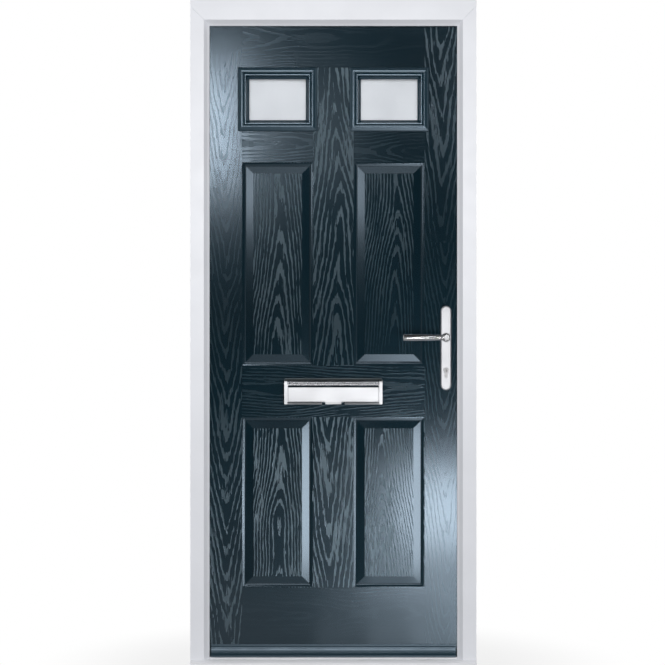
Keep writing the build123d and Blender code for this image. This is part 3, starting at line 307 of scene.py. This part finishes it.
def board_fields(graph):
    """The values of the board under each point: a sum in which each board counts inside its own edges."""
    x, _, z = graph.split(graph.place)
    fields = dict.fromkeys(("across", "along", "seed", "upright", "tip", "climb", "pitch", "force"), 0.0)
    for number, board in enumerate(boards, start=1):
        middle_x, half_width = middle_and_half(board.sides)
        middle_z, half_height = middle_and_half(board.ends)
        in_width = graph.math("COMPARE", x, middle_x, half_width)
        covers = graph.product(in_width, graph.math("COMPARE", z, middle_z, half_height))
        if board.upright:
            across = graph.math("SUBTRACT", x, middle_x + board.pith)
            along = graph.math("SUBTRACT", z, middle_z)
            half_length = half_height
        else:
            across = graph.math("SUBTRACT", z, middle_z + board.pith)
            along = graph.math("SUBTRACT", x, middle_x)
            half_length = half_width
        values = {
            "across": across,
            "along": along,
            "seed": seed_step * number,
            "upright": board.upright,
            "tip": board.tip,
            "climb": graph.product(along, board.lean),
            "pitch": board.pitch,
            "force": graph.stretch(along, -half_length, half_length, board.start, board.end),
        }
        for name, value in values.items():
            fields[name] = graph.math("MULTIPLY_ADD", covers, value, fields[name])
    return fields


def oak_strokes(graph, board):
    """Strokes of an oak figure, from 0 on the ground to 1 in a pore line, and the pores in them."""
    place = graph.math("ADD", board["along"], board["seed"])
    sway = graph.product(graph.wander(place, sway_fineness), sway_width)
    across = graph.math("SUBTRACT", board["across"], sway)
    squares = graph.math("ADD", graph.product(across, across), graph.product(board["tip"], board["tip"]))
    climb = graph.math("MULTIPLY_ADD", graph.wander(place, drift_fineness), drift_height, board["climb"])
    ring = graph.math("ADD", graph.math("SQRT", squares), climb)
    spot = graph.point(board["across"], board["seed"], board["along"])
    waver = graph.centred(graph.streaks(spot, waver_fineness))
    tremble = graph.centred(graph.streaks(spot, tremble_fineness))
    turn = graph.math("DIVIDE", ring, board["pitch"])
    turn = graph.math("MULTIPLY_ADD", waver, waver_turn, turn)
    turn = graph.math("FRACT", graph.math("MULTIPLY_ADD", tremble, tremble_turn, turn))
    early = graph.math("SUBTRACT", graph.stretch(turn, *early_rise), graph.stretch(turn, *early_fall))
    pores = graph.centred(graph.streaks(spot, pore_fineness, pore_detail))
    patch = graph.centred(graph.streaks(spot, patch_fineness, patch_detail))
    likely = graph.math("MULTIPLY_ADD", early, early_share, graph.product(pores, pore_share))
    likely = graph.math("MULTIPLY_ADD", patch, patch_share, likely)
    strokes = graph.stretch(likely, *stroke_span)
    sideways, _, upwards = graph.split(graph.add("TexCoord").outputs["Normal"])
    for slope in (sideways, upwards):
        flat = graph.stretch(graph.math("ABSOLUTE", slope), *flat_slope, 1.0, 0.0)
        strokes = graph.product(strokes, flat)
    return graph.product(strokes, board["force"]), pores


def woodgrain(ground, stroke, smooth, rough, specular, gleam, cloudy):
    """Moulded skin with an oak figure: its pore lines are paler, rougher and sunk, and lean to both sides."""
    graph = Finish()
    board = board_fields(graph)
    strokes, pores = oak_strokes(graph, board)
    cloud = graph.cloud(skin_cloud_fineness, 1.0 - cloudy, 1.0 + cloudy)
    graph.surface(Base_Color=graph.scaled(graph.blend(strokes, ground, stroke), cloud))
    graph.surface(Specular_IOR_Level=specular, Specular_Tint=gleam)
    graph.surface(Roughness=graph.math("MULTIPLY_ADD", strokes, rough - smooth, smooth))
    side = graph.point(board["upright"], 0.0, graph.math("SUBTRACT", 1.0, board["upright"]))
    tilt = graph.scaled(side, graph.product(pores, strokes, pore_tilt))
    to_world = {"vector_type": "VECTOR", "convert_from": "OBJECT", "convert_to": "WORLD"}
    tilt = graph.add("VectorTransform", {0: tilt}, **to_world).outputs[0]
    plain = graph.add("NewGeometry").outputs["Normal"]
    leaning = graph.add("VectorMath", {0: plain, 1: tilt}, operation="ADD").outputs[0]
    normal = graph.add("VectorMath", {0: leaning}, operation="NORMALIZE").outputs[0]
    graph.relief(graph.product(strokes, -1.0), stroke_depth, strength=1.0, normal=normal)
    return graph.material


def moulded(colour, roughness, specular=0.5, fineness=900.0, depth=0.00008, gleam=neutral):
    """Plastic, rubber or paint: a faint cloud in its colour, an uneven gloss and a fine skin."""
    graph = Finish()
    tint = graph.scaled(colour, graph.cloud(paint_cloud_fineness, paint_shade, 1.0))
    dullest, brightest = roughness * (1.0 + paint_swing), roughness * (1.0 - paint_swing)
    gloss = graph.cloud(gloss_fineness, brightest, dullest, detail=2.0)
    graph.surface(Base_Color=tint, Roughness=gloss, Specular_IOR_Level=specular, Specular_Tint=gleam)
    graph.relief(graph.noise(graph.place, fineness), depth, strength=0.6)
    return graph.material


def recessed_gloss(colour, bright, dull, specular, gleam):
    """Moulded and painted section that is glossy on its crests and dull in its hollows, with painted shade in
    its hollows: ambient occlusion darkens its reflection colour there.
    """
    graph = Finish()
    ambient = graph.add("AmbientOcclusion", {"Distance": hollow_width}, samples=hollow_samples)
    opening = ambient.outputs["AO"]
    tint = graph.scaled(colour, graph.cloud(paint_cloud_fineness, paint_shade, 1.0))
    # Painted shade: the reflection colour turns dark where ambient occlusion finds a hollow
    gleam_with_painted_shade = graph.blend(graph.stretch(opening, *painted_shade_opening), hollow_painted_shade, gleam)
    graph.surface(Base_Color=tint, Specular_IOR_Level=specular, Specular_Tint=gleam_with_painted_shade)
    graph.surface(Roughness=graph.stretch(opening, *gloss_opening, dull, bright))
    graph.relief(graph.noise(graph.place, cassette_fineness), depth=0.00003, strength=0.6)
    return graph.material


def metal(colour, roughness, along=(1, 1, 1), fineness=260.0, depth=0.00003, metallic=1.0):
    """Metal with a drawn, brushed or polished face: along is how long its marks are on each axis."""
    graph = Finish()
    marks = graph.streaks(graph.place, [fineness / length for length in along])
    smear = graph.noise(graph.place, smear_fineness, detail=3.0)
    swing = 2.0 * smear_swing * roughness
    gloss = graph.math("MULTIPLY_ADD", smear, swing, roughness * (1.0 - smear_swing))
    tint = graph.scaled(colour, graph.stretch(marks, *mark_span, mark_shade, 1.0))
    graph.surface(Base_Color=tint, Roughness=gloss, Metallic=metallic)
    graph.relief(marks, depth, strength=0.5)
    return graph.material


def plated(colour, satin, polished, dull):
    """Satin plates. The letterplate's hood has polished beads, and its rim and lower lip are dull; the rim
    carries a painted dark reflection, and the lower lip and the flap's tab carry grey painted shade.
    """
    graph = Finish()
    x, _, z = graph.split(graph.place)
    aside = graph.math("ABSOLUTE", x)
    between_caps = graph.math("LESS_THAN", aside, cap_line)
    low = graph.math("LESS_THAN", z, lip_head)
    lip = graph.product(low, between_caps, graph.math("GREATER_THAN", aside, tab_line))
    tab = graph.product(low, graph.math("LESS_THAN", aside, tab_line))
    high = graph.math("GREATER_THAN", z, rim_foot)
    rim = graph.product(high, graph.math("LESS_THAN", aside, clear_of_plate))
    hood = graph.product(graph.math("GREATER_THAN", z, hood_foot), between_caps)
    # The dull rim and lower lip, which also carry the painted dark reflection and painted shade
    dull_and_painted_dark = graph.math("MAXIMUM", lip, rim)
    bare = graph.math("MAXIMUM", hood, dull_and_painted_dark)
    gloss = graph.math("MULTIPLY_ADD", bare, polished - satin, satin)
    gloss = graph.math("MULTIPLY_ADD", dull_and_painted_dark, dull - polished, gloss)
    smear = graph.cloud(smear_fineness, 1.0 - plate_swing, 1.0 + plate_swing)
    # Painted shade: grey on the lower lip and a lighter grey on the flap's tab; a painted dark reflection on
    # the rim
    tint = graph.blend(lip, colour, lip_painted_shade)
    tint = graph.blend(tab, tint, tab_painted_shade)
    tint = graph.blend(rim, tint, rim_painted_reflection)
    metallic = graph.math("MULTIPLY_ADD", bare, 1.0 - satin_metal, satin_metal)
    graph.surface(Base_Color=tint, Metallic=metallic, Roughness=graph.product(gloss, smear))
    return graph.material


def galvanised(colour):
    """Zinc-coated steel with its spangle."""
    graph = Finish()
    spangle = graph.add("TexVoronoi", {"Vector": graph.place, "Scale": spangle_fineness})
    facet, _, _ = graph.split(spangle.outputs["Color"])
    tint = graph.scaled(colour, graph.stretch(facet, 0.0, 1.0, to_low=0.78))
    gloss = graph.stretch(facet, 0.0, 1.0, to_low=0.32, to_high=0.52)
    graph.surface(Base_Color=tint, Metallic=1.0, Roughness=gloss)
    graph.relief(facet, depth=0.00004, strength=0.4)
    return graph.material


def timber(pale, deep):
    """Sealed softwood with its growth lines running along the bar."""
    graph = Finish()
    x, y, _ = graph.split(graph.place)
    rings = graph.math("MULTIPLY_ADD", y, rings_through, graph.product(x, rings_across))
    warp = graph.streaks(graph.place, timber_fineness, detail=3.0)
    rings = graph.math("MULTIPLY_ADD", warp, timber_wander, rings)
    late = graph.stretch(graph.math("FRACT", rings), *late_wood)
    gloss = graph.stretch(late, 0.0, 1.0, to_low=0.62, to_high=0.48)
    graph.surface(Base_Color=graph.blend(late, pale, deep), Roughness=gloss, Specular_IOR_Level=0.3)
    graph.relief(late, depth=0.0002, strength=0.5)
    return graph.material


def foam(pale, deep):
    """Rigid foam with its cut cells."""
    graph = Finish()
    voronoi = graph.add("TexVoronoi", {"Vector": graph.place, "Scale": foam_fineness})
    cells = voronoi.outputs["Distance"]
    tint = graph.blend(graph.stretch(cells, low=0.1, high=0.7), deep, pale)
    graph.surface(Base_Color=tint, Roughness=0.9, Specular_IOR_Level=0.15)
    graph.relief(cells, depth=0.0004, strength=0.7)
    return graph.material


def glazing(tint, roughness, dimple):
    """Float glass, stippled where dimple is more than nothing."""
    graph = Finish()
    clearest, haziest = roughness * (1.0 - haze_swing), roughness * (1.0 + haze_swing)
    haze = graph.cloud(haze_fineness, clearest, haziest, detail=2.0)
    graph.surface(Base_Color=tint, Transmission_Weight=1.0, IOR=glass_ior, Roughness=haze)
    inputs = {"Vector": graph.place, "Scale": stipple_fineness}
    stipple = graph.add("TexVoronoi", inputs, feature="SMOOTH_F1").outputs["Distance"]
    graph.relief(stipple, dimple, strength=0.8)
    return graph.material


def make_finishes():
    """The finish of each of the record's material slots."""
    finishes = {
        "white_frame": moulded(frame_white, roughness=0.34, specular=0.3),
        "white_metal": moulded(
            (0.82, 0.82, 0.83), roughness=0.38, specular=0.4, fineness=420.0, depth=0.0002
        ),
        "white_cassette": moulded(white_ground, roughness=0.36, specular=0.3, fineness=500.0, depth=0.0001),
        "white_woodgrain": woodgrain(
            white_ground, white_stroke, smooth=0.35, rough=0.55, specular=0.3, gleam=neutral, cloudy=0.02
        ),
        "dark_woodgrain": woodgrain(
            dark_ground, dark_stroke, smooth=0.16, rough=0.45, specular=0.65, gleam=dark_gleam, cloudy=0.14
        ),
        "dark_cassette": recessed_gloss(dark_ground, bright=0.27, dull=0.8, specular=0.9, gleam=dark_gleam),
        "dark_metal": moulded(
            dark_ground, roughness=0.45, specular=0.7, fineness=700.0, depth=0.00003, gleam=dark_gleam
        ),
        "grey_rubber": moulded((0.10, 0.105, 0.11), roughness=0.75, specular=0.25, fineness=500.0),
        "black_rubber": moulded((0.012, 0.012, 0.012), roughness=0.75, specular=0.25, fineness=500.0),
        "black_plastic": moulded((0.014, 0.014, 0.015), roughness=0.5, specular=0.3),
        "threshold_aluminium": metal((0.76, 0.77, 0.80), roughness=0.42, along=(60, 1, 1), metallic=0.15),
        "spacer_aluminium": metal((0.70, 0.71, 0.72), roughness=0.4, along=(20, 1, 20)),
        "zinc_steel": metal((0.66, 0.67, 0.68), roughness=0.34, along=(1, 1, 24)),
        "galvanised_steel": galvanised((0.62, 0.64, 0.66)),
        "chrome": metal((0.90, 0.91, 0.93), roughness=0.11, fineness=30.0, depth=0.0),
        "satin_chrome": plated((0.80, 0.81, 0.84), satin=0.25, polished=0.19, dull=0.42),
        "nickel": metal((0.74, 0.74, 0.75), roughness=0.32, along=(1, 30, 1), metallic=satin_metal),
        "foam": foam(pale=(0.72, 0.60, 0.33), deep=(0.48, 0.37, 0.17)),
        "timber": timber(pale=(0.48, 0.30, 0.15), deep=(0.26, 0.14, 0.06)),
        "obscure_glass": glazing((0.83, 0.85, 0.905), roughness=0.5, dimple=0.0006),
        "clear_glass": glazing((0.95, 0.97, 0.96), roughness=0.02, dimple=0.0),
    }
    for slot, finish in finishes.items():
        finish.name = slot
    return finishes


def dress_nodes():
    """Gives each node of the frame the finish of its slot."""
    finishes = make_finishes()
    for part in frame["record"]["subparts"]:
        slots = frame["nodes"][part["node"]].data.materials
        slots.clear()
        slots.append(finishes[part["material_slot"]])


def make_floor():
    """Pale floor that fades into the white background away from the door, and keeps its shadow near it."""
    bpy.ops.mesh.primitive_circle_add(vertices=floor_sides, radius=floor_radius, fill_type="NGON")
    floor = bpy.context.object
    floor.name = "floor"
    graph = Finish("pale_floor")
    tint = graph.scaled(floor_grey, graph.cloud(speckle_fineness, floor_shade, 1.0, detail=2.0))
    graph.surface(Base_Color=tint, Roughness=0.85, Specular_IOR_Level=0.1)
    away = graph.add("VectorMath", {0: graph.place}, operation="LENGTH").outputs["Value"]
    rays = graph.add("LightPath").outputs
    seen = graph.product(rays["Is Camera Ray"], graph.stretch(away, *shadow_reach, shadow_glow, 1.0))
    mixed = graph.shader.outputs[0]
    for share, strength in ((seen, 1.0), (rays["Is Glossy Ray"], mirrored_floor)):
        glow = graph.add("Emission", {"Color": neutral, "Strength": strength}).outputs[0]
        mixed = graph.add("MixShader", {0: share, 1: mixed, 2: glow}).outputs[0]
    graph.feed(graph.tree.nodes["Material Output"].inputs["Surface"], mixed)
    floor.data.materials.append(graph.material)


def make_world():
    """White to the eye and through glass. Polished faces see a dim room with a white backdrop."""
    world = bpy.data.worlds.new("studio")
    bpy.context.scene.world = world
    graph = Graph(world)
    _, y, z = graph.split(graph.add("TexCoord").outputs["Generated"])
    ceiling = graph.stretch(z, *ceiling_rise, 1.0, ceiling_glow)
    room = graph.product(ceiling, graph.stretch(y, *backdrop_rise, room_glow, 1.0))
    rays = graph.add("LightPath").outputs
    strength = graph.choose(rays["Is Glossy Ray"], fill_strength, room)
    strength = graph.choose(rays["Is Transmission Ray"], strength, 1.0)
    strength = graph.choose(rays["Is Camera Ray"], strength, 1.0)
    background = graph.tree.nodes["Background"]
    graph.feed(background.inputs["Strength"], strength)
    graph.feed(background.inputs["Color"], neutral)


class Softbox(NamedTuple):
    """A lamp, what it looks at, and the finishes that its flags let it reach."""

    name: str
    place: tuple
    target: tuple
    width: float
    height: float
    power: float
    finishes: tuple


# Finishes that a lamp reaches
leaf = ("dark_woodgrain", "dark_cassette", "dark_metal")
surround = ("white_frame", "threshold_aluminium", "dark_cassette", "dark_metal")
plates = ("satin_chrome", "nickel")
handle = ("chrome",)
white = ("white_frame", "white_woodgrain", "white_cassette", "white_metal")
hidden = ("zinc_steel", "galvanised_steel", "threshold_aluminium", "timber", "grey_rubber", "black_rubber")
inside = white + hidden + plates + handle

# Lamps on the floor, side by side and brighter to the right
ramp_edges = (-0.51, -0.06, 0.12, 0.27, 0.42, 0.67)
ramp_powers = (1.1, 0.98, 1.53, 2.45, 5.8)
ramp_y = -1.1
ramp_z = 0.012
ramp_length = 1.7
ramp_target_z = 1.0


def floor_ramp():
    """The lamps on the floor, each between two of the edges and facing up."""
    spans = zip(ramp_edges, ramp_edges[1:])
    for number, ((left, right), power) in enumerate(zip(spans, ramp_powers), start=1):
        x = (left + right) / 2
        place, target = (x, ramp_y, ramp_z), (x, ramp_y, ramp_target_z)
        yield Softbox(f"floor_box_{number}", place, target, right - left, ramp_length, power, leaf)


softboxes = [
    Softbox("front_box", (0.0, -5.6, 1.9), (0.0, 0.0, 1.1), 1.5, 1.5, 240.0, surround),
    Softbox("upper_left_box", (-0.71, -5.0, 2.28), (-0.35, 0.0, 1.7), 0.20, 0.70, 17.0, leaf),
    Softbox("upper_right_box", (0.95, -3.0, 2.24), (0.35, 0.0, 1.85), 0.3, 0.5, 3.6, leaf),
    Softbox("lower_right_box", (0.525, -3.0, 0.22), (0.35, 0.0, 0.5), 0.45, 0.4, 10.5, leaf),
    Softbox("left_box", (-1.875, -3.0, 1.81), (0.0, 0.0, 1.3), 0.95, 0.38, 7.4, leaf),
    Softbox("left_rim_box", (-1.7, -3.0, 1.9), (-0.2, 0.0, 1.8), 0.5, 0.5, 15.0, ("dark_cassette",)),
    Softbox("left_card", (-0.30, -1.4, 0.36), (-0.25, 0.0, 0.4), 0.45, 0.66, 0.1, leaf),
    Softbox("right_box", (1.10, -1.8, 0.36), (0.2, 0.0, 0.6), 0.75, 0.66, 17.5, leaf),
    *floor_ramp(),
    Softbox("floor_strip", (0.35, -1.6, 0.08), (0.2, 0.0, 0.95), 0.5, 0.2, 0.7, leaf),
    Softbox("bevel_box", (0.0, -1.4, 2.5), (0.0, 0.0, 1.6), 1.0, 0.25, 1.0, leaf),
    Softbox("upper_muntin_box", (0.0, -3.0, 2.03), (0.0, 0.0, 1.7), 0.16, 0.55, 0.35, leaf),
    Softbox("lower_muntin_box", (0.02, -3.0, 0.30), (0.0, 0.0, 0.5), 0.20, 0.45, 0.2, leaf),
    Softbox("top_box", (0.0, -1.4, 3.0), (0.0, 0.0, 1.9), 1.4, 0.4, 14.0, leaf + ("threshold_aluminium",)),
    Softbox("plate_card", (0.13, -3.0, 1.0), (0.13, 0.0, 1.0), 1.15, 0.8, 10.7, plates),
    Softbox("boss_card", (0.54, -3.0, 1.08), (0.36, 0.0, 1.05), 0.12, 0.12, 0.09, handle),
    Softbox("low_strip", (0.355, -3.0, 0.50), (0.25, 0.0, 1.05), 0.17, 0.12, 2.1, handle),
    Softbox("back_box", (-0.8, 4.2, 2.2), (0.0, 0.0, 1.0), 1.6, 1.6, 100.0, inside),
    Softbox("left_side_box", (-4.0, 1.0, 1.7), (0.0, 0.0, 1.1), 1.4, 1.6, 55.0, white + hidden),
    Softbox("right_side_box", (4.0, 1.0, 1.7), (0.0, 0.0, 1.1), 1.4, 1.6, 55.0, white + hidden),
    Softbox("high_strip", (0.515, -3.0, 2.08), (0.33, 0.0, 1.05), 0.06, 0.12, 0.75, handle),
]


def make_lights():
    """The softboxes as area lamps that the camera doesn't see."""
    for box in softboxes:
        data = bpy.data.lights.new(box.name, "AREA")
        data.shape = "RECTANGLE"
        data.size = box.width
        data.size_y = box.height
        data.energy = box.power
        lamp = bpy.data.objects.new(box.name, data)
        bpy.context.scene.collection.objects.link(lamp)
        lamp.location = box.place
        lamp.rotation_euler = (Vector(box.target) - lamp.location).to_track_quat("-Z", "Y").to_euler()
        lamp.visible_camera = False
        flag(lamp, box.finishes)


def flag(lamp, finishes):
    """Flags a lamp off all but the nodes with these finishes."""
    lit = bpy.data.collections.new(lamp.name + "_lights")
    for part in frame["record"]["subparts"]:
        if part["material_slot"] in finishes:
            lit.objects.link(frame["nodes"][part["node"]])
    lamp.light_linking.receiver_collection = lit


def make_camera():
    """A level camera in front of the door, with the photo's width in view at the frame's face."""
    data = bpy.data.cameras.new("camera")
    data.sensor_width = sensor_width
    data.lens = sensor_width * camera_distance / view_width
    camera = bpy.data.objects.new("camera", data)
    bpy.context.scene.collection.objects.link(camera)
    x, z = view_centre
    camera.location = (x, frame_face - camera_distance, z)
    camera.rotation_euler = (radians(90), 0, 0)
    bpy.context.scene.camera = camera


dress_nodes()
make_floor()
make_world()
make_lights()
make_camera()
bpy.context.scene.view_settings.view_transform = "Standard"
